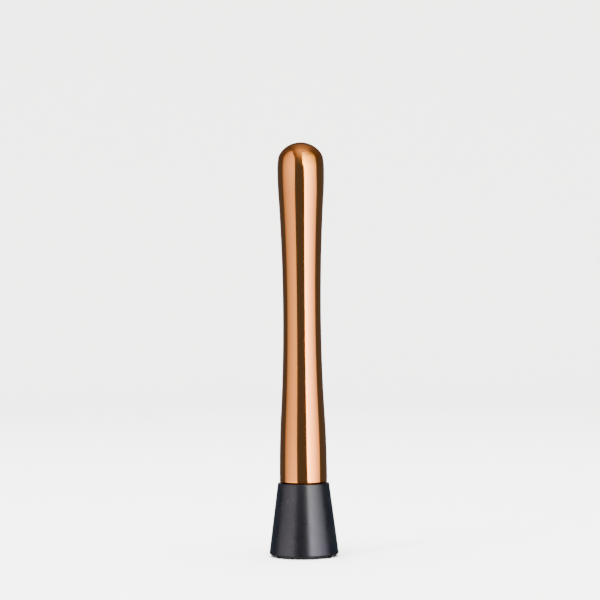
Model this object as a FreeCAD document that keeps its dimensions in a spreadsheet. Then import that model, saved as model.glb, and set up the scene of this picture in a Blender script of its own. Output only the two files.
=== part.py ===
"""Cocktail muddler: a hollow copper-coloured steel handle bolted to a solid nylon head with a toothed sole.

Millimetres, +Z up. The origin is the middle of the sole, where the tips of its teeth lie in the plane z = 0.
The handle is a drawn tube with a domed cap welded on its end. Inside its open end a flanged disc with a
weld nut is fixed. A hex bolt moulded into the head screws into that nut and pulls the head's shoulder
against the lip of the tube, and an O-ring round the head's spigot keeps liquid out of the hollow handle.
"""

import FreeCAD, Part
import os

import Sketcher

# The driving dimensions. Each one becomes a cell of the spreadsheet, with its name as the alias.
DIMENSIONS = {
    # the whole object
    "overall_length": 215.0,
    # the handle's outline
    "end_diameter": 24.7,
    "waist_diameter": 19.8,
    "grip_diameter": 24.4,
    "straight_length": 4.0,
    "waist_height": 126.0,
    "lower_waist_radius": 900.0,
    "upper_waist_radius": 1000.0,
    "cap_seam_height": 200.0,
    # the dome: a slow shoulder arc, then the knuckle, then the crown
    "dome_height": 13.8,
    "shoulder_rise": 4.2,
    "shoulder_inset": 0.35,
    "knuckle_radius": 7.4,
    # the tube's wall, and its edges at the head's end
    "wall": 1.2,
    "lip_round": 1.0,
    "bore_break": 0.1,
    # the cap's stepped skirt, which plugs into the tube before welding
    "skirt_depth": 3.0,
    "skirt_clearance": 0.06,
    # the nylon head
    "head_height": 38.1,
    "head_top_diameter": 26.7,
    "foot_diameter": 36.2,
    "foot_round": 0.8,
    "shoulder_round": 0.5,
    "spigot_length": 8.2,
    "spigot_clearance": 0.1,
    "spigot_chamfer": 0.8,
    # the teeth of the sole
    "tooth_height": 1.1,
    "tooth_pitch": 3.3,
    "tooth_tip": 0.9,
    "teeth_diameter": 34.0,
    "teeth_draft": 0.4,
    # the O-ring in its groove, already squeezed by the tube
    "groove_depth": 1.2,
    "groove_width": 2.0,
    "groove_offset": 3.0,
    "seal_width": 1.55,
    "seal_round": 0.5,
    # the M8 x 35 hex bolt, part threaded
    "bolt_diameter": 8.0,
    "bolt_length": 35.0,
    "bolt_head_flats": 13.0,
    "bolt_head_thickness": 5.3,
    "bolt_head_base": 18.0,
    "bolt_chamfer": 0.9,
    "thread_length": 22.0,
    "thread_pitch": 1.25,
    "thread_depth": 0.7,
    "thread_crest": 0.16,
    "thread_clearance": 0.05,
    # the weld nut
    "nut_flats": 13.0,
    "nut_thickness": 6.8,
    # the flanged disc, pressed from sheet and spot welded inside the tube
    "disc_base": 48.0,
    "disc_thickness": 1.5,
    "disc_flange_height": 5.0,
    "disc_bend": 2.1,
    "disc_clearance": 0.14,
    "disc_hole_diameter": 8.6,
}

UP = FreeCAD.Vector(0, 0, 1)
TAN_30 = 1 / 3**0.5
# the radius that clears a hexagon's corners, as a multiple of the radius of its flats
CORNER_REACH = 1.2
# how far the sketch of a tooth groove goes on below the sole, as a share of its depth
GROOVE_OVERRUN = 0.5
# turns of the nut's thread that are cut in the air below it and above it
SPARE_TURNS = 2


class Dim:
    """A length that knows its value and the spreadsheet expression that gives it."""

    def __init__(self, value, text):
        self.value = value
        self.text = text

    def combined(self, other, sign, value):
        text = other.text if isinstance(other, Dim) else repr(other)
        return Dim(value, f"({self.text} {sign} {text})")

    def __add__(self, other):
        return self.combined(other, "+", self.value + number(other))

    def __sub__(self, other):
        return self.combined(other, "-", self.value - number(other))

    def __mul__(self, other):
        return self.combined(other, "*", self.value * number(other))

    def __truediv__(self, other):
        return self.combined(other, "/", self.value / number(other))


def number(length):
    """The plain number of a Dim or a number."""
    return length.value if isinstance(length, Dim) else float(length)


def bind(feature, name, length):
    """Sets a property or a named constraint, and ties it to the spreadsheet where the length is a Dim."""
    if not name.startswith("Constraints."):
        setattr(feature, name, number(length))
    if isinstance(length, Dim):
        feature.setExpression(name, length.text)


def make_sheet(document):
    """The spreadsheet of driving dimensions, and a Dim for each of its cells by alias."""
    sheet = document.addObject("Spreadsheet::Sheet", "dims")
    for row, (alias, value) in enumerate(DIMENSIONS.items(), start=1):
        sheet.set(f"A{row}", alias)
        sheet.set(f"B{row}", str(value))
        sheet.setAlias(f"B{row}", alias)
    document.recompute()
    return {alias: Dim(value, f"dims.{alias}") for alias, value in DIMENSIONS.items()}


# ---- sketches and features ----


def origin_feature(body, role):
    """One of a body's own origin planes or axes, such as XZ_Plane or Z_Axis."""
    return next(item for item in body.Origin.OriginFeatures if item.Role == role)


def new_sketch(body, name, plane, height=0.0):
    """An empty sketch on one of the body's origin planes, moved along that plane's normal."""
    sketch = body.newObject("Sketcher::SketchObject", name)
    sketch.AttachmentSupport = [(origin_feature(body, plane), "")]
    sketch.MapMode = "FlatFace"
    sketch.AttachmentOffset = FreeCAD.Placement(FreeCAD.Vector(0, 0, number(height)), FreeCAD.Rotation())
    if isinstance(height, Dim):
        sketch.setExpression("AttachmentOffset.Base.z", height.text)
    return sketch


def fix_point(sketch, geometry, end, across, up):
    """Holds one end of a piece of geometry at a place measured from the sketch's origin."""
    for kind, length, axis in (("DistanceX", across, "x"), ("DistanceY", up, "y")):
        if number(length) == 0:
            sketch_axis = -2 if axis == "x" else -1
            sketch.addConstraint(Sketcher.Constraint("PointOnObject", geometry, end, sketch_axis))
            continue
        index = sketch.addConstraint(Sketcher.Constraint(kind, -1, 1, geometry, end, number(length)))
        name = f"p{geometry}_{axis}"
        sketch.renameConstraint(index, name)
        bind(sketch, f"Constraints.{name}", length)


def draw_outline(sketch, corners, arcs=None):
    """A closed outline through the corners, each a pair of lengths.

    The edge that starts at corner n is straight, unless arcs has n: (centre, radius) for it.
    """
    arcs = arcs or {}
    points = [FreeCAD.Vector(number(x), number(y), 0) for x, y in corners]
    ends = []
    for n, start in enumerate(points):
        finish = points[(n + 1) % len(points)]
        if n not in arcs:
            sketch.addGeometry(Part.LineSegment(start, finish), False)
            ends.append((1, 2))
            continue
        centre, radius = arcs[n]
        middle = FreeCAD.Vector(number(centre[0]), number(centre[1]), 0)
        anticlockwise = (start - middle).cross(finish - middle).z > 0
        halfway = (start + finish) * 0.5 - middle
        crown = middle + halfway.normalize() * number(radius)
        first, last = (start, finish) if anticlockwise else (finish, start)
        sketch.addGeometry(Part.Arc(first, crown, last), False)
        ends.append((1, 2) if anticlockwise else (2, 1))
        index = sketch.addConstraint(Sketcher.Constraint("Radius", n, number(radius)))
        sketch.renameConstraint(index, f"r{n}")
        bind(sketch, f"Constraints.r{n}", radius)
    for n, (across, up) in enumerate(corners):
        before = (n - 1) % len(corners)
        sketch.addConstraint(Sketcher.Constraint("Coincident", before, ends[before][1], n, ends[n][0]))
        fix_point(sketch, n, ends[n][0], across, up)
    return sketch


def draw_hexagon(sketch, flats):
    """A regular hexagon round the sketch's origin, with two flats facing along Y."""
    corner = number(flats) / 3**0.5
    turn = FreeCAD.Rotation(UP, 60)
    points = [FreeCAD.Vector(corner, 0, 0)]
    for _ in range(5):
        points.append(turn.multVec(points[-1]))
    for n in range(6):
        sketch.addGeometry(Part.LineSegment(points[n], points[(n + 1) % 6]), False)
    circle = sketch.addGeometry(Part.Circle(FreeCAD.Vector(), UP, number(flats) / 2), True)
    sketch.addConstraint(Sketcher.Constraint("Coincident", circle, 3, -1, 1))
    index = sketch.addConstraint(Sketcher.Constraint("Diameter", circle, number(flats)))
    sketch.renameConstraint(index, "flats")
    bind(sketch, "Constraints.flats", flats)
    for n in range(6):
        sketch.addConstraint(Sketcher.Constraint("Coincident", n, 2, (n + 1) % 6, 1))
        sketch.addConstraint(Sketcher.Constraint("Tangent", n, circle))
        if n:
            sketch.addConstraint(Sketcher.Constraint("Equal", 0, n))
    sketch.addConstraint(Sketcher.Constraint("Horizontal", 1))
    return sketch


def draw_circle(sketch, diameter):
    """A circle round the sketch's origin."""
    circle = sketch.addGeometry(Part.Circle(FreeCAD.Vector(), UP, number(diameter) / 2), False)
    sketch.addConstraint(Sketcher.Constraint("Coincident", circle, 3, -1, 1))
    index = sketch.addConstraint(Sketcher.Constraint("Diameter", circle, number(diameter)))
    sketch.renameConstraint(index, "diameter")
    bind(sketch, "Constraints.diameter", diameter)
    return sketch


def new_body(document, label):
    """A body whose label is the name of the sub-part."""
    body = document.addObject("PartDesign::Body", label)
    body.Label = label
    return body


def revolve(body, name, corners, arcs=None, groove=False):
    """Turns an outline in the XZ plane, given as radius and height, once round the Z axis."""
    sketch = draw_outline(new_sketch(body, f"{name}_outline", "XZ_Plane"), corners, arcs)
    kind = "PartDesign::Groove" if groove else "PartDesign::Revolution"
    feature = body.newObject(kind, name)
    feature.Profile = sketch
    feature.ReferenceAxis = (sketch, ["V_Axis"])
    feature.Angle = 360
    body.Document.recompute()
    return feature


def pad(body, name, sketch, length):
    """Adds material from a sketch, upwards."""
    feature = body.newObject("PartDesign::Pad", name)
    feature.Profile = sketch
    bind(feature, "Length", length)
    body.Document.recompute()
    return feature


def pocket(body, name, sketch, length, both_ways=False):
    """Cuts a sketch out of the body, upwards, or half the length each way."""
    before = body.Tip.Shape.Volume
    feature = body.newObject("PartDesign::Pocket", name)
    feature.Profile = sketch
    bind(feature, "Length", length)
    feature.Midplane = both_ways
    feature.Reversed = not both_ways
    body.Document.recompute()
    if not feature.Shape.Volume < before:
        raise RuntimeError(f"{name} cut nothing")
    return feature


def fillet(body, name, radius, circles):
    """Rounds the circular edges of the body that have one of these (radius, height) pairs."""
    base = body.Tip
    wanted = [(number(r), number(z)) for r, z in circles]
    names = []
    for n, edge in enumerate(base.Shape.Edges, start=1):
        curve = edge.Curve
        if not isinstance(curve, Part.Circle):
            continue
        if any(abs(curve.Radius - r) < 1e-4 and abs(curve.Center.z - z) < 1e-4 for r, z in wanted):
            names.append(f"Edge{n}")
    if len(names) != len(wanted):
        raise RuntimeError(f"{name}: {len(names)} edges found and {len(wanted)} wanted")
    feature = body.newObject("PartDesign::Fillet", name)
    feature.Base = (base, names)
    bind(feature, "Radius", radius)
    body.Document.recompute()
    return feature


def row_of(body, name, cut, axis, length, count):
    """Repeats a cut along one of the body's axes, over a total length."""
    pattern = body.newObject("PartDesign::LinearPattern", name)
    pattern.Originals = [cut]
    pattern.Direction = (origin_feature(body, axis), [""])
    pattern.Occurrences = count
    bind(pattern, "Length", length)
    body.Tip = pattern
    body.Document.recompute()
    return pattern


# ---- the handle ----


def part_way(start, finish, share):
    """The point that lies this share of the way from one point to another."""
    return tuple((b - a) * share + a for a, b in zip(start, finish))


class HandleOutline:
    """The handle's outline from tangent arcs: a straight end, a long waist and a domed grip.

    A convex arc leads from the straight end into the waist, which is two hollow arcs that meet where the
    handle is slimmest, and another convex arc leads out of it into the grip. A convex and a hollow arc
    whose far ends both run along Z meet smoothly when the sum of their radii is
    (d * d + h * h) / (2 * d), for far ends that are d apart in radius and h in height.
    The dome's shoulder arc and knuckle arc curve the same way, so for them it is the difference of the
    radii, with the knuckle's centre shoulder_rise above the dome's start and moved in by shoulder_inset.
    """

    def __init__(self, d):
        self.end = d["end_diameter"] / 2
        self.waist = d["waist_diameter"] / 2
        self.grip = d["grip_diameter"] / 2
        self.lip_height = d["head_height"]
        self.straight_top = d["head_height"] + d["straight_length"]
        self.waist_height = d["waist_height"]
        self.lower_waist_radius = d["lower_waist_radius"]
        self.upper_waist_radius = d["upper_waist_radius"]
        self.seam = d["cap_seam_height"]
        self.top = d["overall_length"]
        self.spring = d["overall_length"] - d["dome_height"]
        self.lower_radius = self.convex_radius(
            self.end, self.waist_height - self.straight_top, self.lower_waist_radius
        )
        self.upper_radius = self.convex_radius(
            self.grip, self.seam - self.waist_height, self.upper_waist_radius
        )
        self.knuckle_radius = d["knuckle_radius"]
        self.shoulder_inset = d["shoulder_inset"]
        self.knuckle_height = self.spring + d["shoulder_rise"]
        inset, rise = d["shoulder_inset"], d["shoulder_rise"]
        self.shoulder_radius = (inset * inset + rise * rise) / (inset * 2) + self.knuckle_radius
        # crown arc: centred on the axis, through the top, tangent to the knuckle arc
        across = self.grip - self.knuckle_radius - inset
        rise = self.top - self.knuckle_height
        self.crown_radius = (across * across + rise * rise - self.knuckle_radius * self.knuckle_radius) / (
            (rise - self.knuckle_radius) * 2
        )

    def convex_radius(self, widest, height, waist_radius):
        step = widest - self.waist
        return (step * step + height * height) / (step * 2) - waist_radius

    def lower_waist_centre(self):
        return (self.waist + self.lower_waist_radius, self.waist_height)

    def upper_waist_centre(self):
        return (self.waist + self.upper_waist_radius, self.waist_height)

    def lower_centre(self):
        return (self.end - self.lower_radius, self.straight_top)

    def upper_centre(self):
        return (self.grip - self.upper_radius, self.seam)

    def shoulder_centre(self):
        return (self.grip - self.shoulder_radius, self.spring)

    def knuckle_centre(self):
        return (self.grip - self.knuckle_radius - self.shoulder_inset, self.knuckle_height)

    def crown_centre(self):
        return (0.0, self.top - self.crown_radius)

    def lower_meeting(self, inward):
        """Where the lower convex arc meets the waist, on the surface that lies inward of the outline."""
        share = (self.lower_radius - inward) / (self.lower_radius + self.lower_waist_radius)
        return part_way(self.lower_centre(), self.lower_waist_centre(), share)

    def upper_meeting(self, inward):
        """Where the upper convex arc meets the waist, on the surface that lies inward of the outline."""
        share = (self.upper_radius - inward) / (self.upper_radius + self.upper_waist_radius)
        return part_way(self.upper_centre(), self.upper_waist_centre(), share)

    def shoulder_meeting(self, inward):
        """Where the shoulder arc meets the knuckle arc, on the surface that lies inward of the outline."""
        share = (self.shoulder_radius - inward) / (self.shoulder_radius - self.knuckle_radius)
        return part_way(self.shoulder_centre(), self.knuckle_centre(), share)

    def dome_meeting(self, inward):
        """Where the knuckle arc meets the crown arc, on the surface that lies inward of the outline."""
        share = (self.crown_radius - inward) / (self.crown_radius - self.knuckle_radius)
        return part_way(self.crown_centre(), self.knuckle_centre(), share)


def make_handle_tube(document, d):
    """The drawn tube, open at both ends, with a rounded lip at the head's end."""
    h = HandleOutline(d)
    wall, lip, edge_break = d["wall"], d["lip_round"], d["bore_break"]
    corners = [
        (h.end - lip, h.lip_height),
        (h.end, h.lip_height + lip),
        (h.end, h.straight_top),
        h.lower_meeting(0),
        (h.waist, h.waist_height),
        h.upper_meeting(0),
        (h.grip, h.seam),
        (h.grip - wall, h.seam),
        h.upper_meeting(wall),
        (h.waist - wall, h.waist_height),
        h.lower_meeting(wall),
        (h.end - wall, h.straight_top),
        (h.end - wall, h.lip_height + edge_break),
        (h.end - wall + edge_break, h.lip_height),
    ]
    arcs = {
        0: ((h.end - lip, h.lip_height + lip), lip),
        2: (h.lower_centre(), h.lower_radius),
        3: (h.lower_waist_centre(), h.lower_waist_radius),
        4: (h.upper_waist_centre(), h.upper_waist_radius),
        5: (h.upper_centre(), h.upper_radius),
        7: (h.upper_centre(), h.upper_radius - wall),
        8: (h.upper_waist_centre(), h.upper_waist_radius + wall),
        9: (h.lower_waist_centre(), h.lower_waist_radius + wall),
        10: (h.lower_centre(), h.lower_radius - wall),
    }
    body = new_body(document, "handle_tube")
    revolve(body, "tube_wall", corners, arcs)
    return body


def make_end_cap(document, d):
    """The deep-drawn dome. Its stepped skirt plugs into the tube, and the seam is welded and polished."""
    h = HandleOutline(d)
    wall = d["wall"]
    inner = h.grip - wall
    skirt = inner - d["skirt_clearance"]
    skirt_foot = h.seam - d["skirt_depth"]
    corners = [
        (skirt - wall, skirt_foot),
        (skirt, skirt_foot),
        (skirt, h.seam),
        (h.grip, h.seam),
        (h.grip, h.spring),
        h.shoulder_meeting(0),
        h.dome_meeting(0),
        (0, h.top),
        (0, h.top - wall),
        h.dome_meeting(wall),
        h.shoulder_meeting(wall),
        (inner, h.spring),
        (skirt - wall, h.spring - wall),
    ]
    arcs = {
        4: (h.shoulder_centre(), h.shoulder_radius),
        5: (h.knuckle_centre(), h.knuckle_radius),
        6: (h.crown_centre(), h.crown_radius),
        8: (h.crown_centre(), h.crown_radius - wall),
        9: (h.knuckle_centre(), h.knuckle_radius - wall),
        10: (h.shoulder_centre(), h.shoulder_radius - wall),
    }
    body = new_body(document, "end_cap")
    revolve(body, "cap_wall", corners, arcs)
    return body


# ---- the head ----


def spigot_radius(d):
    """The head's spigot, which slides into the tube's straight end."""
    return d["end_diameter"] / 2 - d["wall"] - d["spigot_clearance"]


def groove_bottom(d):
    return d["head_height"] + d["groove_offset"]


def make_head(document, d):
    """The nylon moulding: a cone with a spigot above and teeth below, moulded round the bolt."""
    foot, top = d["foot_diameter"] / 2, d["head_top_diameter"] / 2
    field = d["teeth_diameter"] / 2
    spigot = spigot_radius(d)
    groove = spigot - d["groove_depth"]
    low, high = groove_bottom(d), groove_bottom(d) + d["groove_width"]
    spigot_top = d["head_height"] + d["spigot_length"]
    shank = d["bolt_diameter"] / 2
    bolt_seat = d["bolt_head_base"] + d["bolt_head_thickness"]
    body = new_body(document, "head")
    corners = [
        (0, 0),
        (field - d["teeth_draft"], 0),
        (field, d["tooth_height"]),
        (foot, d["tooth_height"]),
        (top, d["head_height"]),
        (spigot, d["head_height"]),
        (spigot, low),
        (groove, low),
        (groove, high),
        (spigot, high),
        (spigot, spigot_top - d["spigot_chamfer"]),
        (spigot - d["spigot_chamfer"], spigot_top),
        (shank, spigot_top),
        (shank, bolt_seat),
        (0, bolt_seat),
    ]
    revolve(body, "moulding", corners)
    fillet(body, "foot_edge", d["foot_round"], [(foot, d["tooth_height"])])
    fillet(body, "shoulder_edge", d["shoulder_round"], [(top, d["head_height"])])
    seat_plane = new_sketch(body, "bolt_head_outline", "XY_Plane", d["bolt_head_base"])
    hexagon = draw_hexagon(seat_plane, d["bolt_head_flats"])
    pocket(body, "bolt_head_seat", hexagon, d["bolt_head_thickness"])
    revolve(body, "fill_round_bolt_crown", corner_triangle(d["bolt_head_flats"], d["bolt_head_base"], 1))
    cut_teeth(body, d)
    return body


def cut_teeth(body, d):
    """V-grooves across the sole both ways, which leave a tooth in the middle and rows of teeth round it."""
    pitch = d["tooth_pitch"]
    half_mouth = (pitch - d["tooth_tip"]) / 2
    count = 2 * int(DIMENSIONS["teeth_diameter"] / DIMENSIONS["tooth_pitch"] / 2)
    first = pitch * -0.5 * (count - 1)
    below = d["tooth_height"] * -GROOVE_OVERRUN
    spread = half_mouth * (1 + GROOVE_OVERRUN)
    triangle = [
        (first - spread, below),
        (first + spread, below),
        (first, d["tooth_height"]),
    ]
    for plane, axis in (("XZ_Plane", "X_Axis"), ("YZ_Plane", "Y_Axis")):
        sketch = draw_outline(new_sketch(body, f"groove_across_{axis[0]}", plane), triangle)
        cut = pocket(body, f"first_groove_{axis[0]}", sketch, d["foot_diameter"] * 2, both_ways=True)
        row_of(body, f"grooves_{axis[0]}", cut, axis, pitch * (count - 1), count)


def make_seal_ring(document, d):
    """The O-ring, as the tube squeezes it in its groove: flat against the tube and the groove's floor."""
    outer = d["end_diameter"] / 2 - d["wall"]
    inner = spigot_radius(d) - d["groove_depth"]
    middle = groove_bottom(d) + d["groove_width"] / 2
    low, high = middle - d["seal_width"] / 2, middle + d["seal_width"] / 2
    bend = d["seal_round"]
    corners = [
        (inner, low + bend),
        (inner + bend, low),
        (outer - bend, low),
        (outer, low + bend),
        (outer, high - bend),
        (outer - bend, high),
        (inner + bend, high),
        (inner, high - bend),
    ]
    arcs = {
        0: ((inner + bend, low + bend), bend),
        2: ((outer - bend, low + bend), bend),
        4: ((outer - bend, high - bend), bend),
        6: ((inner + bend, high - bend), bend),
    }
    body = new_body(document, "seal_ring")
    revolve(body, "ring", corners, arcs)
    return body


# ---- the fixing inside ----


def corner_triangle(flats, face, upwards):
    """The section that turning takes off a hexagon's corners at one of its faces, at 30 degrees.

    upwards is 1 where the hexagon lies above that face, and -1 where it lies below.
    """
    reach = flats / 2 * CORNER_REACH
    return [
        (flats / 2, face),
        (reach, face),
        (reach, face + (reach - flats / 2) * TAN_30 * upwards),
    ]


def cut_thread(body, name, start, length, narrow, wide, d):
    """Cuts a right-hand thread of 60 degree flanks from one height over a length, run out at both ends.

    narrow and wide are each a radius and the width of the groove there.
    """
    before = body.Tip.Shape.Volume
    corners = [
        (narrow[0], start - narrow[1] / 2),
        (wide[0], start - wide[1] / 2),
        (wide[0], start + wide[1] / 2),
        (narrow[0], start + narrow[1] / 2),
    ]
    sketch = draw_outline(new_sketch(body, f"{name}_outline", "XZ_Plane"), corners)
    thread = body.newObject("PartDesign::SubtractiveHelix", name)
    thread.Profile = sketch
    thread.ReferenceAxis = (sketch, ["V_Axis"])
    thread.Mode = 0
    bind(thread, "Pitch", d["thread_pitch"])
    bind(thread, "Height", length)
    body.Document.recompute()
    if not 0.5 * before < thread.Shape.Volume < before:
        raise RuntimeError(f"{name} cut {before - thread.Shape.Volume} mm3")
    return thread


def make_hex_bolt(document, d):
    """The bolt: its hexagon head is locked in the nylon, and its threaded end stands out of the spigot."""
    radius = d["bolt_diameter"] / 2
    seat = d["bolt_head_base"] + d["bolt_head_thickness"]
    tip = seat + d["bolt_length"]
    body = new_body(document, "hex_bolt")
    head_plane = new_sketch(body, "head_outline", "XY_Plane", d["bolt_head_base"])
    hexagon = draw_hexagon(head_plane, d["bolt_head_flats"])
    pad(body, "bolt_head", hexagon, d["bolt_head_thickness"])
    corners = [
        (0, seat - d["bolt_head_thickness"] / 2),
        (radius, seat - d["bolt_head_thickness"] / 2),
        (radius, tip - d["bolt_chamfer"]),
        (radius - d["bolt_chamfer"], tip),
        (0, tip),
    ]
    revolve(body, "shank", corners)
    revolve(body, "crown", corner_triangle(d["bolt_head_flats"], d["bolt_head_base"], 1), groove=True)
    at_crest = d["thread_pitch"] - d["thread_crest"]
    at_root = at_crest - d["thread_depth"] * 2 * TAN_30
    beyond = d["thread_clearance"]
    cut_thread(
        body,
        "thread",
        tip - d["thread_length"],
        d["thread_length"] + d["thread_pitch"],
        (radius - d["thread_depth"], at_root),
        (radius + beyond, at_crest + beyond * 2 * TAN_30),
        d,
    )
    return body


def make_closing_disc(document, d):
    """The flanged disc across the tube: a pressed cup whose rim is spot welded to the tube's wall."""
    rim = d["end_diameter"] / 2 - d["wall"] - d["disc_clearance"]
    thick, base = d["disc_thickness"], d["disc_base"]
    hole = d["disc_hole_diameter"] / 2
    bend = d["disc_bend"]
    corners = [
        (hole, base),
        (rim - bend, base),
        (rim, base + bend),
        (rim, base + d["disc_flange_height"]),
        (rim - thick, base + d["disc_flange_height"]),
        (rim - thick, base + bend),
        (rim - bend, base + thick),
        (hole, base + thick),
    ]
    arcs = {
        1: ((rim - bend, base + bend), bend),
        5: ((rim - bend, base + bend), bend - thick),
    }
    body = new_body(document, "closing_disc")
    revolve(body, "pressing", corners, arcs)
    return body


def make_weld_nut(document, d):
    """The M8 nut, welded to the upper face of the disc, with its thread half a pitch out of the bolt's."""
    base = d["disc_base"] + d["disc_thickness"]
    top = base + d["nut_thickness"]
    clear = d["thread_clearance"]
    major = d["bolt_diameter"] / 2 + clear
    minor = d["bolt_diameter"] / 2 - d["thread_depth"] + clear
    body = new_body(document, "weld_nut")
    hexagon = draw_hexagon(new_sketch(body, "nut_outline", "XY_Plane", base), d["nut_flats"])
    pad(body, "nut_blank", hexagon, d["nut_thickness"])
    revolve(body, "lower_corners", corner_triangle(d["nut_flats"], base, 1), groove=True)
    revolve(body, "upper_corners", corner_triangle(d["nut_flats"], top, -1), groove=True)
    bore = draw_circle(new_sketch(body, "bore_outline", "XY_Plane", base), minor * 2)
    pocket(body, "bore", bore, d["nut_thickness"])
    bolt_tip = d["bolt_head_base"] + d["bolt_head_thickness"] + d["bolt_length"]
    bolt_start = bolt_tip - d["thread_length"]
    turns_below = int((number(base) - number(bolt_start)) / number(d["thread_pitch"])) - SPARE_TURNS
    at_major = d["thread_crest"] + clear
    cut_thread(
        body,
        "thread",
        bolt_start + d["thread_pitch"] * (turns_below + 0.5),
        d["nut_thickness"] + d["thread_pitch"] * 2 * SPARE_TURNS,
        (major, at_major),
        (minor - clear, at_major + (major - minor + clear) * 2 * TAN_30),
        d,
    )
    return body


def check(document, bodies):
    """Stops if any object failed, or a sub-part has no sound shape."""
    for item in document.Objects:
        if "Invalid" in item.State or "Error" in item.State:
            raise RuntimeError(f"{item.Name} ({item.Label}) is {item.State}")
    for body in bodies:
        shape = body.Shape
        if shape.isNull() or not shape.isValid() or len(shape.Solids) != 1:
            raise RuntimeError(f"{body.Label} has no sound solid: {len(shape.Solids)} solids")


def main():
    document = FreeCAD.newDocument("muddler")
    d = make_sheet(document)
    makers = (
        make_handle_tube,
        make_end_cap,
        make_head,
        make_seal_ring,
        make_hex_bolt,
        make_closing_disc,
        make_weld_nut,
    )
    bodies = [make(document, d) for make in makers]
    document.recompute()
    check(document, bodies)
    os.makedirs("parts", exist_ok=True)
    for body in bodies:
        body.Shape.exportStep(f"parts/{body.Label}.step")
        box = body.Shape.optimalBoundingBox(False)
        print(f"{body.Label}: {body.Shape.Volume:.1f} mm3, z {box.ZMin:.2f} to {box.ZMax:.2f}")


main()
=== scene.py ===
"""Looks of a cocktail muddler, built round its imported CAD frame. Metres, in the frame's own axes.

The copper-coloured handle and the nylon head are rebuilt here as fine lathe meshes on the CAD's own
outline. The pieces hidden inside keep their CAD meshes and get materials of their own.
"""

import math

import bmesh
import bpy
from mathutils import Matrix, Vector


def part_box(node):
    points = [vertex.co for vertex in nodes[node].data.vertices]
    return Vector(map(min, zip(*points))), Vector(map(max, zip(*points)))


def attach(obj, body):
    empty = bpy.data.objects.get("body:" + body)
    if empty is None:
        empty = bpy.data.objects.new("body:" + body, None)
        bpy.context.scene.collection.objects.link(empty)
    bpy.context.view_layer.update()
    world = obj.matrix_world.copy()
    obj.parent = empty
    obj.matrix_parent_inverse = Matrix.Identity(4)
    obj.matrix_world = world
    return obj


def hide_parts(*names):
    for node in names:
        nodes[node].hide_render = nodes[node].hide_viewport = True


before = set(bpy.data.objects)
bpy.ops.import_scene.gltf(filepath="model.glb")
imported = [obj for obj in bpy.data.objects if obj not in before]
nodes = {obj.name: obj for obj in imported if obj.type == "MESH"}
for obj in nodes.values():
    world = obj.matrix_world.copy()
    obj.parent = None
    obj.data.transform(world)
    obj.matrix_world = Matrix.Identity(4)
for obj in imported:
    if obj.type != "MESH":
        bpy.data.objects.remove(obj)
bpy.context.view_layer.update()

MM = 0.001

# the handle's outline, as in the CAD
WAIST_RADIUS = 9.9 * MM
WAIST_HEIGHT = 126 * MM
LOWER_WAIST_ARC = 900 * MM
UPPER_WAIST_ARC = 1000 * MM
STRAIGHT_LENGTH = 4 * MM
DOME_HEIGHT = 13.8 * MM
SHOULDER_RISE = 4.2 * MM
SHOULDER_INSET = 0.35 * MM
KNUCKLE_RADIUS = 7.4 * MM
WALL = 1.2 * MM
LIP_ROUND = 1 * MM
BORE_BREAK = 0.1 * MM
SKIRT_CLEARANCE = 0.06 * MM

# the head
HEAD_TOP_RADIUS = 13.35 * MM
FOOT_RADIUS = 18.1 * MM
FOOT_ROUND = 0.8 * MM
SHOULDER_ROUND = 0.5 * MM
SPIGOT_CLEARANCE = 0.1 * MM
SPIGOT_CHAMFER = 0.8 * MM
GROOVE_DEPTH = 1.2 * MM
GROOVE_WIDTH = 2 * MM
GROOVE_OFFSET = 3 * MM
SMALL_EDGE = 0.15 * MM

# the teeth of the sole
TOOTH_HEIGHT = 1.1 * MM
TOOTH_PITCH = 3.3 * MM
TOOTH_TIP = 0.9 * MM
TEETH_RADIUS = 17 * MM
TEETH_DRAFT = 0.4 * MM
TOOTH_SOFTNESS = 0.22 * MM
GROOVE_ROUND = 0.08 * MM
CELLS_PER_TOOTH = 24

# the bolt's cavity in the head
BOLT_RADIUS = 4 * MM
BOLT_HEAD_FLATS = 13 * MM
BOLT_HEAD_BASE = 18 * MM
BOLT_HEAD_CHAMFER = math.radians(30)
BOLT_SEAT = 23.3 * MM

# how finely the meshes are divided: round the axis, along the handle, and along each kind of arc
HANDLE_SEGMENTS = 288
HEAD_SEGMENTS = 288
ROW_SPACING = 1 * MM
LIP_STEPS = 10
CORNER_STEPS = 8
SHOULDER_STEPS = 8
KNUCKLE_STEPS = 24
CROWN_STEPS = 40
SHARP_EDGE = math.radians(35)
ON_AXIS = 1e-6 * MM

tube_low, tube_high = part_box("handle_tube")
cap_low, cap_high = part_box("end_cap")
END_RADIUS = tube_high.x
GRIP_RADIUS = cap_high.x
LIP_HEIGHT = tube_low.z
SEAM_HEIGHT = tube_high.z
TOP_HEIGHT = cap_high.z
SPIGOT_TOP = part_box("head")[1].z
STRAIGHT_TOP = LIP_HEIGHT + STRAIGHT_LENGTH
SPIGOT_RADIUS = END_RADIUS - WALL - SPIGOT_CLEARANCE


# ---- outlines: lists of (radius, height) ----


def arc(centre, radius, start, finish, steps):
    """Points along an arc, from one angle to another in degrees, anticlockwise from +radius."""
    points = []
    for n in range(steps + 1):
        angle = math.radians(start + (finish - start) * n / steps)
        points.append((centre[0] + radius * math.cos(angle), centre[1] + radius * math.sin(angle)))
    return points


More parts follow.
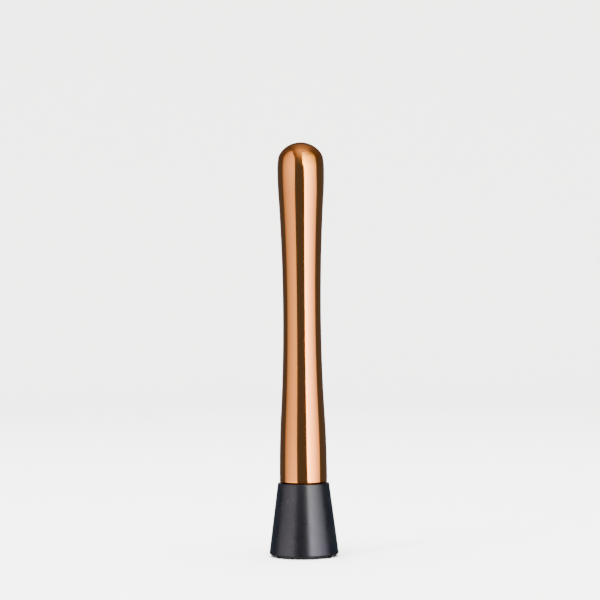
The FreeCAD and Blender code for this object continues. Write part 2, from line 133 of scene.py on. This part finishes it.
def rounded(corners, steps):
    """An outline through corners given as (radius, height, rounding): each rounding becomes an arc."""
    points = []
    for n, (x, z, rounding) in enumerate(corners):
        if not rounding:
            points.append((x, z))
            continue
        corner = Vector((x, z))
        before = (Vector(corners[n - 1][:2]) - corner).normalized()
        after = (Vector(corners[(n + 1) % len(corners)][:2]) - corner).normalized()
        half = before.angle(after) / 2
        reach = rounding / math.tan(half)
        centre = corner + (before + after).normalized() * (rounding / math.sin(half))
        start = (corner + before * reach - centre).normalized()
        finish = (corner + after * reach - centre).normalized()
        for step in range(steps + 1):
            point = centre + start.slerp(finish, step / steps) * rounding
            points.append((point.x, point.y))
    return points


def handle_radius(height):
    """The handle's outer radius: a straight end, then arcs down to the waist and out again to the grip.

    On each side of the waist a convex arc meets a hollow one, tangent to it.
    """
    if height <= STRAIGHT_TOP:
        return END_RADIUS
    if height >= SEAM_HEIGHT:
        return GRIP_RADIUS
    if height < WAIST_HEIGHT:
        widest, far, hollow = END_RADIUS, STRAIGHT_TOP, LOWER_WAIST_ARC
    else:
        widest, far, hollow = GRIP_RADIUS, SEAM_HEIGHT, UPPER_WAIST_ARC
    step = widest - WAIST_RADIUS
    rise = abs(WAIST_HEIGHT - far)
    convex = (step * step + rise * rise) / (2 * step) - hollow
    from_end = abs(height - far)
    if from_end < rise * convex / (convex + hollow):
        return widest - convex + math.sqrt(convex * convex - from_end * from_end)
    from_waist = height - WAIST_HEIGHT
    return WAIST_RADIUS + hollow - math.sqrt(hollow * hollow - from_waist * from_waist)


def heights_between(low, high):
    """Evenly spaced heights from low to high, about a row spacing apart."""
    count = max(1, round((high - low) / ROW_SPACING))
    return [low + (high - low) * n / count for n in range(count + 1)]


def dome(inward):
    """The dome's outline from its side to its top, on the surface that lies inward of the outside.

    A slow shoulder arc, then the knuckle and the crown, each tangent to the one before.
    """
    rise = SHOULDER_RISE
    difference = (SHOULDER_INSET**2 + rise**2) / (2 * SHOULDER_INSET)
    shoulder_radius = KNUCKLE_RADIUS + difference
    shoulder = Vector((GRIP_RADIUS - shoulder_radius, TOP_HEIGHT - DOME_HEIGHT))
    knuckle = Vector((GRIP_RADIUS - KNUCKLE_RADIUS - SHOULDER_INSET, shoulder.y + rise))
    height = TOP_HEIGHT - knuckle.y
    crown_radius = (knuckle.x**2 + height**2 - KNUCKLE_RADIUS**2) / (2 * (height - KNUCKLE_RADIUS))
    crown = Vector((0, TOP_HEIGHT - crown_radius))
    bend = math.degrees(math.asin(rise / difference))
    turn = math.degrees(math.atan2(knuckle.y - crown.y, knuckle.x - crown.x))
    points = arc(shoulder, shoulder_radius - inward, 0, bend, SHOULDER_STEPS)
    points += arc(knuckle, KNUCKLE_RADIUS - inward, bend, turn, KNUCKLE_STEPS)[1:]
    return points + arc(crown, crown_radius - inward, turn, 90, CROWN_STEPS)[1:]


# ---- meshes ----


def new_object(name, mesh_builder):
    """Makes an object from a bmesh, smooth but for its sharp edges, riding on the one body of the part."""
    bmesh.ops.recalc_face_normals(mesh_builder, faces=mesh_builder.faces)
    mesh = bpy.data.meshes.new(name)
    mesh_builder.to_mesh(mesh)
    mesh_builder.free()
    mesh.shade_smooth()
    mesh.set_sharp_from_angle(angle=SHARP_EDGE)
    piece = bpy.data.objects.new(name, mesh)
    bpy.context.scene.collection.objects.link(piece)
    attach(piece, "root")
    return piece


def ring(builder, radius_at, height, segments):
    """A ring of vertices round Z, whose radius is a function of the angle."""
    vertices = []
    for n in range(segments):
        angle = 2 * math.pi * n / segments
        radius = radius_at(angle)
        vertices.append(builder.verts.new((radius * math.cos(angle), radius * math.sin(angle), height)))
    return vertices


def circle(builder, radius, height, segments):
    """A ring of vertices that all have one radius."""
    return ring(builder, lambda angle: radius, height, segments)


def join_rings(builder, lower, upper):
    """Faces between two rings, or between a ring and a single vertex on the axis.

    Two single vertices, such as the dome's top and the one under it, get none.
    """
    count = max(len(lower), len(upper))
    if count == 1:
        return
    for n in range(count):
        after = (n + 1) % count
        if len(lower) == 1:
            builder.faces.new((lower[0], upper[after], upper[n]))
        elif len(upper) == 1:
            builder.faces.new((lower[n], lower[after], upper[0]))
        else:
            builder.faces.new((lower[n], lower[after], upper[after], upper[n]))


def outline_rings(builder, outline, segments):
    """One ring for each point of an outline. A point on the axis gives a single vertex."""
    rings = []
    for radius, height in outline:
        if radius < ON_AXIS:
            rings.append([builder.verts.new((0, 0, height))])
        else:
            rings.append(circle(builder, radius, height, segments))
    for lower, upper in zip(rings, rings[1:]):
        join_rings(builder, lower, upper)
    return rings


def make_handle_tube():
    """The tube, with its rounded lip below and its square end hidden against the cap above."""
    inner_end = END_RADIUS - WALL
    outline = arc((END_RADIUS - LIP_ROUND, LIP_HEIGHT + LIP_ROUND), LIP_ROUND, -90, 0, LIP_STEPS)
    outer = heights_between(LIP_HEIGHT + LIP_ROUND, SEAM_HEIGHT)[1:]
    outline += [(handle_radius(height), height) for height in outer]
    inner = heights_between(LIP_HEIGHT + BORE_BREAK, SEAM_HEIGHT)[::-1]
    outline += [(handle_radius(height) - WALL, height) for height in inner]
    outline.append((inner_end + BORE_BREAK, LIP_HEIGHT))
    builder = bmesh.new()
    rings = outline_rings(builder, outline, HANDLE_SEGMENTS)
    join_rings(builder, rings[-1], rings[0])
    return new_object("handle_tube_polished", builder)


def make_end_cap():
    """The domed cap with the stepped skirt that plugs into the tube."""
    skirt = GRIP_RADIUS - WALL - SKIRT_CLEARANCE
    spring = TOP_HEIGHT - DOME_HEIGHT
    outline = [(skirt - WALL, cap_low.z), (skirt, cap_low.z), (skirt, SEAM_HEIGHT)]
    outline += [(GRIP_RADIUS, height) for height in heights_between(SEAM_HEIGHT, spring)[:-1]]
    outline += dome(0)
    outline += dome(WALL)[::-1]
    outline.append((skirt - WALL, spring - WALL))
    builder = bmesh.new()
    rings = outline_rings(builder, outline, HANDLE_SEGMENTS)
    join_rings(builder, rings[-1], rings[0])
    return new_object("end_cap_polished", builder)


# ---- the head ----


def smooth_max(a, b, softness):
    """The larger of two numbers, with the crease where they cross rounded off."""
    share = max(softness - abs(a - b), 0) / softness
    return max(a, b) + share * share * softness / 4


def groove_depth(position):
    """How deep the V-grooves across one axis reach at a place along it, below zero where a tooth stands."""
    half_mouth = (TOOTH_PITCH - TOOTH_TIP) / 2
    from_tooth = abs((position / TOOTH_PITCH + 0.5) % 1 - 0.5) * TOOTH_PITCH
    from_groove = math.hypot(TOOTH_PITCH / 2 - from_tooth, GROOVE_ROUND)
    return TOOTH_HEIGHT * (1 - from_groove / half_mouth)


def sole_height(x, y):
    """Height of the sole's surface: teeth left between grooves that run both ways, with a sloping edge."""
    edge = TOOTH_HEIGHT * (1 - (TEETH_RADIUS - math.hypot(x, y)) / TEETH_DRAFT)
    grooves = smooth_max(groove_depth(x), groove_depth(y), TOOTH_SOFTNESS)
    cut = smooth_max(grooves, edge, TOOTH_SOFTNESS)
    return min(smooth_max(cut, 0, TOOTH_SOFTNESS), TOOTH_HEIGHT)


def add_sole(builder, rim):
    """The toothed sole: a square grid of faces inside the rim, and a narrow band that joins it to the rim.

    The rim has to be the only open edge that the mesh has when this is called.
    """
    cell = TOOTH_PITCH / CELLS_PER_TOOTH
    reach = math.hypot(rim[0].co.x, rim[0].co.y)
    half = int(reach / cell) + 1
    limit = reach - cell / 2
    vertices = {}

    def vertex(column, row):
        key = (column, row)
        if key not in vertices:
            x, y = column * cell, row * cell
            vertices[key] = builder.verts.new((x, y, sole_height(x, y)))
        return vertices[key]

    for column in range(-half, half):
        for row in range(-half, half):
            corners = [(column, row), (column, row + 1), (column + 1, row + 1), (column + 1, row)]
            if all(math.hypot(x * cell, y * cell) < limit for x, y in corners):
                builder.faces.new([vertex(x, y) for x, y in corners])
    open_edges = [edge for edge in builder.edges if edge.is_boundary]
    bmesh.ops.triangle_fill(builder, edges=open_edges, use_beauty=True, normal=(0, 0, -1))


def hexagon_radius(angle):
    """Radius of the bolt head's hexagon at an angle, with corners on +X and -X."""
    sector = math.radians(60)
    from_flat = angle % sector - sector / 2
    return BOLT_HEAD_FLATS / 2 / math.cos(from_flat)


def add_bolt_cavity(builder, bore):
    """The cavity that the bolt's head fills: from the bore's end out to a hexagon, and down to its crown."""
    flat = BOLT_HEAD_FLATS / 2
    corner_drop = (hexagon_radius(0) - flat) * math.tan(BOLT_HEAD_CHAMFER)
    seat = ring(builder, hexagon_radius, BOLT_SEAT, HEAD_SEGMENTS)
    shoulder = ring(builder, hexagon_radius, BOLT_HEAD_BASE + corner_drop, HEAD_SEGMENTS)
    crown = circle(builder, flat, BOLT_HEAD_BASE, HEAD_SEGMENTS)
    middle = [builder.verts.new((0, 0, BOLT_HEAD_BASE))]
    stages = [bore, seat, shoulder, crown, middle]
    for above, below in zip(stages, stages[1:]):
        join_rings(builder, above, below)


def make_head():
    """The nylon moulding: cone, shoulder, spigot with its O-ring groove, the bolt's cavity and the sole."""
    groove_low = LIP_HEIGHT + GROOVE_OFFSET
    groove_high = groove_low + GROOVE_WIDTH
    groove_radius = SPIGOT_RADIUS - GROOVE_DEPTH
    corners = [
        (TEETH_RADIUS, TOOTH_HEIGHT, 0),
        (FOOT_RADIUS, TOOTH_HEIGHT, FOOT_ROUND),
        (HEAD_TOP_RADIUS, LIP_HEIGHT, SHOULDER_ROUND),
        (SPIGOT_RADIUS, LIP_HEIGHT, SMALL_EDGE),
        (SPIGOT_RADIUS, groove_low, SMALL_EDGE),
        (groove_radius, groove_low, SMALL_EDGE),
        (groove_radius, groove_high, SMALL_EDGE),
        (SPIGOT_RADIUS, groove_high, SMALL_EDGE),
        (SPIGOT_RADIUS, SPIGOT_TOP - SPIGOT_CHAMFER, 0),
        (SPIGOT_RADIUS - SPIGOT_CHAMFER, SPIGOT_TOP, 0),
        (BOLT_RADIUS, SPIGOT_TOP, 0),
        (BOLT_RADIUS, BOLT_SEAT, 0),
    ]
    outline = rounded(corners, CORNER_STEPS)[1:]
    builder = bmesh.new()
    rings = outline_rings(builder, outline, HEAD_SEGMENTS)
    add_bolt_cavity(builder, rings[-1])
    add_sole(builder, rings[0])
    return new_object("head_moulding", builder)


# ---- materials ----


class Graph:
    """The node tree of a material, a light or the world, with short calls to add nodes and link them."""

    def __init__(self, owner):
        owner.use_nodes = True
        self.tree = owner.node_tree

    def shader(self):
        """A material's own shader."""
        return self.tree.nodes["Principled BSDF"]

    def add(self, kind, values=None, **settings):
        """A new node. values go into its sockets, as numbers or as links, and settings are its own."""
        node = self.tree.nodes.new(kind)
        for name, value in settings.items():
            setattr(node, name, value)
        for socket, value in (values or {}).items():
            if isinstance(value, bpy.types.NodeSocket):
                self.tree.links.new(value, node.inputs[socket])
            else:
                node.inputs[socket].default_value = value
        return node

    def link(self, output, node, socket):
        """Links an output to one of a node's named sockets."""
        self.tree.links.new(output, node.inputs[socket])

    def position(self, scale=(1, 1, 1)):
        """The object's own coordinates, in metres, times a scale."""
        place = self.add("ShaderNodeTexCoord").outputs["Object"]
        return self.add("ShaderNodeMapping", {"Vector": place, "Scale": scale}).outputs["Vector"]

    def noise(self, place, scale, detail=2.0, roughness=0.5):
        """Smooth noise from 0 to 1. The scale is in bumps to the metre."""
        values = {"Vector": place, "Scale": scale, "Detail": detail, "Roughness": roughness}
        return self.add("ShaderNodeTexNoise", values).outputs["Fac"]

    def between(self, factor, low, high, start=0.0, finish=1.0):
        """A number that goes from low to high as the factor goes from start to finish."""
        values = {"Value": factor, "From Min": start, "From Max": finish, "To Min": low, "To Max": high}
        return self.add("ShaderNodeMapRange", values).outputs["Result"]

    def math(self, operation, first, second=0):
        """One sum on one or two numbers, such as ABSOLUTE, ADD or MULTIPLY."""
        return self.add("ShaderNodeMath", {0: first, 1: second}, operation=operation).outputs[0]

    def profile(self, factor, points):
        """A number that follows straight lines through (factor, number) points."""
        top = max(value for place, value in points) or 1
        ramp = self.add("ShaderNodeValToRGB", {"Fac": factor})
        stops = ramp.color_ramp.elements
        while len(stops) < len(points):
            stops.new(0.5)
        for stop, (place, value) in zip(stops, points):
            stop.position = place
            stop.color = (value / top, value / top, value / top, 1)
        return self.math("MULTIPLY", ramp.outputs["Color"], top)

    def blend(self, factor, first, second):
        """A colour between two colours."""
        node = self.add("ShaderNodeMix", data_type="RGBA")
        self.link(factor, node, "Factor")
        node.inputs["A"].default_value = (*first, 1)
        node.inputs["B"].default_value = (*second, 1)
        return node.outputs["Result"]

    def cover(self, colour, roughness, height, strength, distance):
        """Gives the shader its colour and roughness, and bumps of a strength and a depth in metres."""
        shader = self.shader()
        bump = self.add("ShaderNodeBump", {"Height": height, "Strength": strength, "Distance": distance})
        self.link(colour, shader, "Base Color")
        self.link(roughness, shader, "Roughness")
        self.link(bump.outputs[0], shader, "Normal")


def copper_finish():
    """Mirror-polished steel under a copper-coloured coating, with faint polishing marks and smears."""
    material = bpy.data.materials.new("copper_finish")
    graph = Graph(material)
    graph.shader().inputs["Metallic"].default_value = 1
    cloud = graph.noise(graph.position(), 45, detail=3)
    smears = graph.noise(graph.position((1, 1, 0.4)), 160, detail=4, roughness=0.6)
    marks = graph.noise(graph.position((150, 150, 9000)), 1, detail=2)
    colour = graph.blend(cloud, (0.91, 0.335, 0.108), (0.95, 0.355, 0.12))
    smeared = graph.between(smears, 0.07, 0.13, start=0.35, finish=0.7)
    roughness = graph.math("ADD", smeared, graph.between(marks, -0.01, 0.015))
    graph.cover(colour, roughness, marks, strength=0.04, distance=0.01 * MM)
    return material


def nylon():
    """Charcoal moulded nylon: a satin skin with a fine eroded grain."""
    material = bpy.data.materials.new("nylon")
    graph = Graph(material)
    shader = graph.shader()
    shader.inputs["IOR"].default_value = 1.53
    shader.inputs["Specular IOR Level"].default_value = 0.8
    shader.inputs["Specular Tint"].default_value = (1, 0.95, 1, 1)
    place = graph.position()
    cloud = graph.noise(place, 60, detail=4)
    grain = graph.noise(place, 3200, detail=3, roughness=0.6)
    patches = graph.noise(place, 220, detail=3)
    colour = graph.blend(cloud, (0.005, 0.004, 0.0055), (0.0075, 0.006, 0.0083))
    patchy = graph.between(patches, 0.26, 0.32, start=0.3, finish=0.7)
    roughness = graph.math("ADD", patchy, graph.between(grain, -0.03, 0.05))
    graph.cover(colour, roughness, grain, strength=0.25, distance=0.02 * MM)
    return material


def rubber():
    """Black nitrile rubber with a faint bloom."""
    material = bpy.data.materials.new("seal_rubber")
    graph = Graph(material)
    bloom = graph.noise(graph.position(), 700, detail=4)
    colour = graph.blend(bloom, (0.012, 0.012, 0.012), (0.028, 0.028, 0.027))
    graph.cover(colour, graph.between(bloom, 0.42, 0.6), bloom, strength=0.2, distance=0.02 * MM)
    return material


def plated_steel():
    """Bright zinc plate, slightly crystalline."""
    material = bpy.data.materials.new("zinc_plated_steel")
    graph = Graph(material)
    graph.shader().inputs["Metallic"].default_value = 1
    crystals = graph.noise(graph.position(), 1500, detail=5, roughness=0.7)
    colour = graph.blend(crystals, (0.56, 0.58, 0.60), (0.70, 0.71, 0.72))
    graph.cover(colour, graph.between(crystals, 0.24, 0.4), crystals, strength=0.15, distance=0.02 * MM)
    return material


def pressed_sheet():
    """Stainless sheet with its mill finish: fine marks along the rolling direction."""
    material = bpy.data.materials.new("bare_steel")
    graph = Graph(material)
    graph.shader().inputs["Metallic"].default_value = 1
    lines = graph.noise(graph.position((300, 9000, 300)), 1, detail=3)
    colour = graph.blend(lines, (0.48, 0.47, 0.45), (0.60, 0.59, 0.57))
    graph.cover(colour, graph.between(lines, 0.28, 0.42), lines, strength=0.15, distance=0.01 * MM)
    return material


def give(piece, material):
    """Gives a piece one material, in place of what it had."""
    piece.data.materials.clear()
    piece.data.materials.append(material)


# ---- the studio ----

# a round floor that curves up into a wall
FLOOR_RADIUS = 1.6
COVE_RADIUS = 0.8
COVE_STEPS = 24
WALL_TOP = 3
FLOOR_SEGMENTS = 96
FLOOR_COLOUR = (0.80, 0.79, 0.78)
FLOOR_ROUGHNESS = 0.9

# the softboxes: how far they stand from the object's axis, how low they reach, the share of their width
# over which an upright edge fades, and the heights between which their colour changes
SOFTBOX_DISTANCE = 0.75
SOFTBOX_FOOT = -0.35
SOFTBOX_EDGE = 0.02
COLOUR_CHANGE = (0.2, 0.32)
STRAIGHT = [(0, 0), (1, 0)]
WHITE = (1, 1, 1)

# The room's brightness, past the softboxes. The ceiling adds to the walls by the sine of a direction's
# elevation. It fades to the sides and behind, by profiles that go from 0 at -X or -Y to 1 at +X or +Y.
# The floor has bands round Z, from 0 behind, through 0.5 in front, to 1 behind. It begins between two
# sines of elevation, and the walls' colour gives way to the ceiling's between two others.
ROOM_WALLS = 0.114
CEILING = [
    (0, 0), (0.1, 0), (0.16, 0.03), (0.28, 0.12), (0.34, 0.22), (0.44, 0.5), (0.68, 0.63), (0.88, 0.8),
    (1, 0.78),
]
CEILING_ASIDE = [
    (0, 0), (0.1, 0.1), (0.22, 0.4), (0.27, 0.15), (0.3, 0.2), (0.35, 0.45), (0.39, 0.65), (0.44, 0.85),
    (0.5, 1), (0.65, 0.85), (0.78, 0.2), (1, 0.1),
]
CEILING_BEHIND = [
    (0, 1), (0.45, 1), (0.5, 0.8), (0.53, 0.62), (0.65, 0.42), (0.8, 0.25), (0.88, 0.06), (1, 0),
]
FLOOR_BANDS = [
    (0, 0.6), (0.05, 0.4), (0.1, 0.05), (0.2, 0.05), (0.26, 0.8), (0.4, 1), (0.43, 0.05), (0.53, 0.05),
    (0.56, 1.7), (0.68, 1), (0.75, 0.5), (0.78, 0.05), (0.9, 0.05), (0.95, 0.4), (1, 0.6),
]
FLOOR_EDGE = (-0.62, -0.5)
COLOUR_EDGE = (0.05, 0.4)
WALL_COLOUR = (1, 1.38, 1.85)
CEILING_COLOUR = (1, 1.02, 1.05)

# the camera: its place in metres, its roll in degrees, and the width it sees at the object's axis
CAMERA_DISTANCE = 1.1
CAMERA_HEIGHT = 133 * MM
CAMERA_ASIDE = -0.96 * MM
CAMERA_ROLL = -0.52
CAMERA_SENSOR = 36
FRAME_WIDTH = 0.312


def make_studio_floor():
    """A pale round floor that curves up all round into a wall."""
    outline = [(0, 0), (FLOOR_RADIUS, 0)]
    outline += arc((FLOOR_RADIUS, COVE_RADIUS), COVE_RADIUS, -90, 0, COVE_STEPS)[1:]
    outline.append((FLOOR_RADIUS + COVE_RADIUS, WALL_TOP))
    builder = bmesh.new()
    outline_rings(builder, outline, FLOOR_SEGMENTS)
    mesh = bpy.data.meshes.new("studio_floor")
    builder.to_mesh(mesh)
    builder.free()
    mesh.shade_smooth()
    floor = bpy.data.objects.new("studio_floor", mesh)
    bpy.context.scene.collection.objects.link(floor)
    material = bpy.data.materials.new("studio_floor")
    shader = Graph(material).shader()
    shader.inputs["Base Color"].default_value = (*FLOOR_COLOUR, 1)
    shader.inputs["Roughness"].default_value = FLOOR_ROUGHNESS
    give(floor, material)
    floor.visible_glossy = False


def direction(azimuth):
    """A level direction from the object: azimuth 0 is towards the camera and 90 to its right, in degrees."""
    turn = math.radians(azimuth)
    return Vector((math.sin(turn), -math.cos(turn), 0))


def hang(name, light, place, out):
    """Hangs a light at a place, where it shines against the direction out. The camera doesn't see it."""
    lamp = bpy.data.objects.new(name, light)
    lamp.location = place
    lamp.rotation_mode = "QUATERNION"
    lamp.rotation_quaternion = out.to_track_quat("Z", "Y")
    lamp.visible_camera = False
    bpy.context.scene.collection.objects.link(lamp)
    return lamp


def make_softbox(name, azimuths, top, across, upwards, colours, first_edge=STRAIGHT, last_edge=STRAIGHT):
    """A tall softbox that faces the axis, over a range of azimuths in degrees, up to a height in metres.

    across and upwards are profiles of its brightness, over shares of its width and height. colours are its
    colours below and above the top of the object. first_edge and last_edge say how far each upright edge is
    drawn in, as a share of the width, by the share of the height.
    """
    first, last = azimuths
    light = bpy.data.lights.new(name, "AREA")
    light.shape = "RECTANGLE"
    light.size = 2 * SOFTBOX_DISTANCE * math.tan(math.radians(last - first) / 2)
    light.size_y = top - SOFTBOX_FOOT
    # with this energy, the light's brightness is what its nodes give
    light.energy = math.pi * light.size * light.size_y
    graph = Graph(light)
    emission = graph.tree.nodes["Emission"]
    place = graph.add("ShaderNodeNewGeometry").outputs["Parametric"]
    place = graph.add("ShaderNodeSeparateXYZ", {"Vector": place})
    along, height = place.outputs["X"], place.outputs["Y"]
    level = graph.math("MULTIPLY", graph.profile(along, across), graph.profile(height, upwards))
    from_first = graph.math("SUBTRACT", along, graph.profile(height, first_edge))
    from_last = graph.math("SUBTRACT", graph.math("SUBTRACT", 1, along), graph.profile(height, last_edge))
    for distance in (from_first, from_last):
        level = graph.math("MULTIPLY", level, graph.between(distance, 0, 1, start=0, finish=SOFTBOX_EDGE))
    graph.link(level, emission, "Strength")
    start, finish = [(z - SOFTBOX_FOOT) / light.size_y for z in COLOUR_CHANGE]
    colour = graph.blend(graph.between(height, 0, 1, start, finish), *colours)
    graph.link(colour, emission, "Color")
    out = direction((first + last) / 2)
    middle = out * SOFTBOX_DISTANCE + Vector((0, 0, (SOFTBOX_FOOT + top) / 2))
    lamp = hang(name, light, middle, out)
    lamp.visible_diffuse = False


def make_room_light(name, place, size, power):
    """A round soft light that points at the object's foot. It is for the floor and the soft shadow only."""
    light = bpy.data.lights.new(name, "AREA")
    light.shape = "DISK"
    light.size = size
    light.energy = power
    lamp = hang(name, light, place, Vector(place))
    lamp.visible_glossy = False


def make_world():
    """What the polished metal sees past the softboxes: dark walls, a paler ceiling and a banded floor."""
    world = bpy.data.worlds.new("studio")
    bpy.context.scene.world = world
    graph = Graph(world)
    background = graph.tree.nodes["Background"]
    place = graph.add("ShaderNodeTexCoord").outputs["Generated"]
    place = graph.add("ShaderNodeSeparateXYZ", {"Vector": place})
    height = place.outputs["Z"]
    ceiling = graph.profile(height, CEILING)
    for axis, fade in (("X", CEILING_ASIDE), ("Y", CEILING_BEHIND)):
        share = graph.between(place.outputs[axis], 0, 1, start=-1)
        ceiling = graph.math("MULTIPLY", ceiling, graph.profile(share, fade))
    forward = graph.math("MULTIPLY", place.outputs["Y"], -1)
    azimuth = graph.math("ARCTAN2", place.outputs["X"], forward)
    turn = graph.between(azimuth, 0, 1, start=-math.pi, finish=math.pi)
    floor = graph.math("MULTIPLY", graph.profile(turn, FLOOR_BANDS), graph.between(height, 1, 0, *FLOOR_EDGE))
    level = graph.math("ADD", graph.math("ADD", ceiling, floor), ROOM_WALLS)
    graph.link(level, background, "Strength")
    from_level = graph.math("ABSOLUTE", height)
    colour = graph.blend(graph.between(from_level, 0, 1, *COLOUR_EDGE), WALL_COLOUR, CEILING_COLOUR)
    graph.link(colour, background, "Color")


def make_camera():
    """Level with the middle of the handle and a long way off, rolled a little as the object hangs."""
    data = bpy.data.cameras.new("camera")
    data.sensor_width = CAMERA_SENSOR
    data.lens = data.sensor_width * CAMERA_DISTANCE / FRAME_WIDTH
    camera = bpy.data.objects.new("camera", data)
    camera.location = (CAMERA_ASIDE, -CAMERA_DISTANCE, CAMERA_HEIGHT)
    camera.rotation_euler = (math.radians(90), 0, 0)
    camera.rotation_euler.rotate_axis("Z", math.radians(CAMERA_ROLL))
    bpy.context.scene.collection.objects.link(camera)
    bpy.context.scene.camera = camera


# ---- the object ----

copper = copper_finish()
tube = make_handle_tube()
give(tube, copper)
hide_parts("handle_tube")

cap = make_end_cap()
give(cap, copper)
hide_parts("end_cap")

head = make_head()
give(head, nylon())
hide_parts("head")

plated = plated_steel()
give(nodes["hex_bolt"], plated)
give(nodes["weld_nut"], plated)
give(nodes["closing_disc"], pressed_sheet())
give(nodes["seal_ring"], rubber())

# ---- the stage ----

make_studio_floor()
make_softbox(
    "left_softbox",
    azimuths=(-101, -28),
    top=2.2,
    across=[
        (0, 0.15), (0.07, 0.4), (0.15, 0.56), (0.31, 0.85), (0.48, 1.1), (0.62, 1.28), (0.75, 1.35), (1, 1.3),
    ],
    upwards=[
        (0, 1.5), (0.09, 1.5), (0.13, 1), (0.19, 0.82), (0.24, 1), (0.3, 0.95), (0.35, 0.8), (0.5, 0.7),
        (1, 0.6),
    ],
    colours=(WHITE, WHITE),
    last_edge=[
        (0, 0.035), (0.19, 0.035), (0.23, 0), (0.33, 0.01), (0.39, 0.1), (0.5, 0.26), (0.64, 0.43),
        (0.74, 0.6), (0.85, 0.8), (1, 1),
    ],
)
make_softbox(
    "right_softbox",
    azimuths=(8, 88),
    top=1.9,
    across=[(0, 5.5), (0.13, 6.3), (0.25, 5.2), (0.4, 3.7), (0.57, 2.6), (0.74, 1.6), (0.91, 1.1), (1, 0.7)],
    upwards=[(0, 1), (0.27, 1), (0.35, 0.65), (0.42, 0.47), (0.56, 0.27), (0.78, 0.2), (1, 0.15)],
    colours=((1, 1.02, 1.12), (1, 1.14, 0.78)),
    first_edge=[(0, 0.22), (0.11, 0.22), (0.16, 0.15), (0.26, 0.15), (0.34, 0), (1, 0)],
    last_edge=[(0, 0), (0.21, 0), (0.26, 0.083), (1, 0.083)],
)
make_softbox(
    "rear_softbox",
    azimuths=(158, 202),
    top=0.4,
    across=[(0, 0), (0.3, 0.7), (0.7, 0.7), (1, 0)],
    upwards=[(0, 1), (1, 1)],
    colours=(WHITE, WHITE),
)
make_room_light("overhead", (0, 0, 2.6), size=2.4, power=215)
make_room_light("key", (-0.9, -0.8, 1.8), size=0.6, power=26)
make_world()
make_camera()
scene = bpy.context.scene
scene.view_settings.view_transform = "AgX"
scene.view_settings.look = "AgX - Medium High Contrast"
